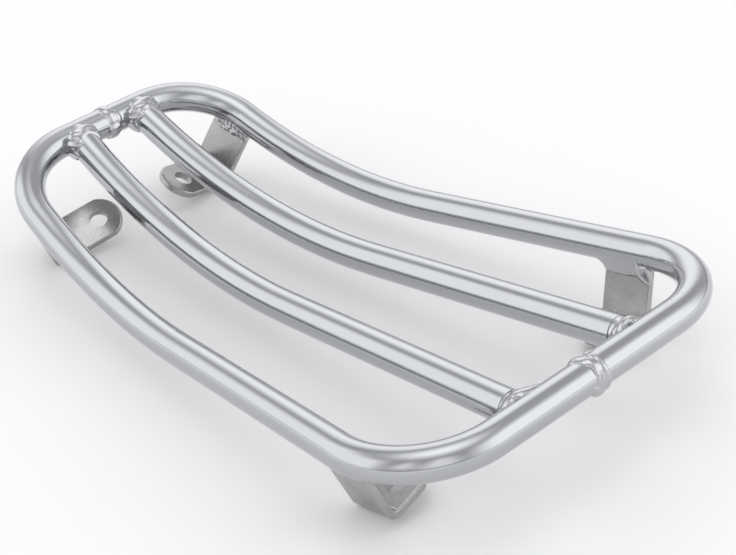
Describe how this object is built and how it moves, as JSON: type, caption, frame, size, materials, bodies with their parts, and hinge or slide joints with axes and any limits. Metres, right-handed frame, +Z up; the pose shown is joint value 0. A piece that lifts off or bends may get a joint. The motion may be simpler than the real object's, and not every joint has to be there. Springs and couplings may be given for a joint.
{
  "type": "motorcycle luggage rack",
  "caption": "Welded chrome tube rack: a tapered outer loop with a raised narrow end, two inner rails, and folded strip brackets with screw holes.",
  "frame": {"origin": "on the flat surface that the four brackets stand on, under the middle of the rack's box", "axes": "+Z up, +Y along the rack towards its raised narrow end, +X across it"},
  "size_m": [0.1574, 0.2732, 0.0479],
  "materials": {
    "chrome_tube": "bright plated tube, polished, with small pits and faint bending marks",
    "plated_strip": "plated over unpolished strip: satin and slightly grainy",
    "plated_weld": "plated over rough weld beads, bright and lumpy"
  },
  "bodies": {
    "root": {"loop_half_left": "chrome_tube", "loop_half_right": "chrome_tube", "rail_left": "chrome_tube", "rail_right": "chrome_tube", "bracket_near_left": "plated_strip", "bracket_near_right": "plated_strip", "bracket_far_left": "plated_strip", "bracket_far_right": "plated_strip", "weld_ring_near": "plated_weld", "weld_ring_far": "plated_weld", "weld_rail_left_near": "plated_weld", "weld_rail_right_near": "plated_weld", "weld_rail_left_far": "plated_weld", "weld_rail_right_far": "plated_weld", "weld_near_left_inner": "plated_weld", "weld_near_left_outer": "plated_weld", "weld_near_right_inner": "plated_weld", "weld_near_right_outer": "plated_weld", "weld_far_left_inner": "plated_weld", "weld_far_left_outer": "plated_weld", "weld_far_right_inner": "plated_weld", "weld_far_right_outer": "plated_weld"}
  },
  "joints": []
}
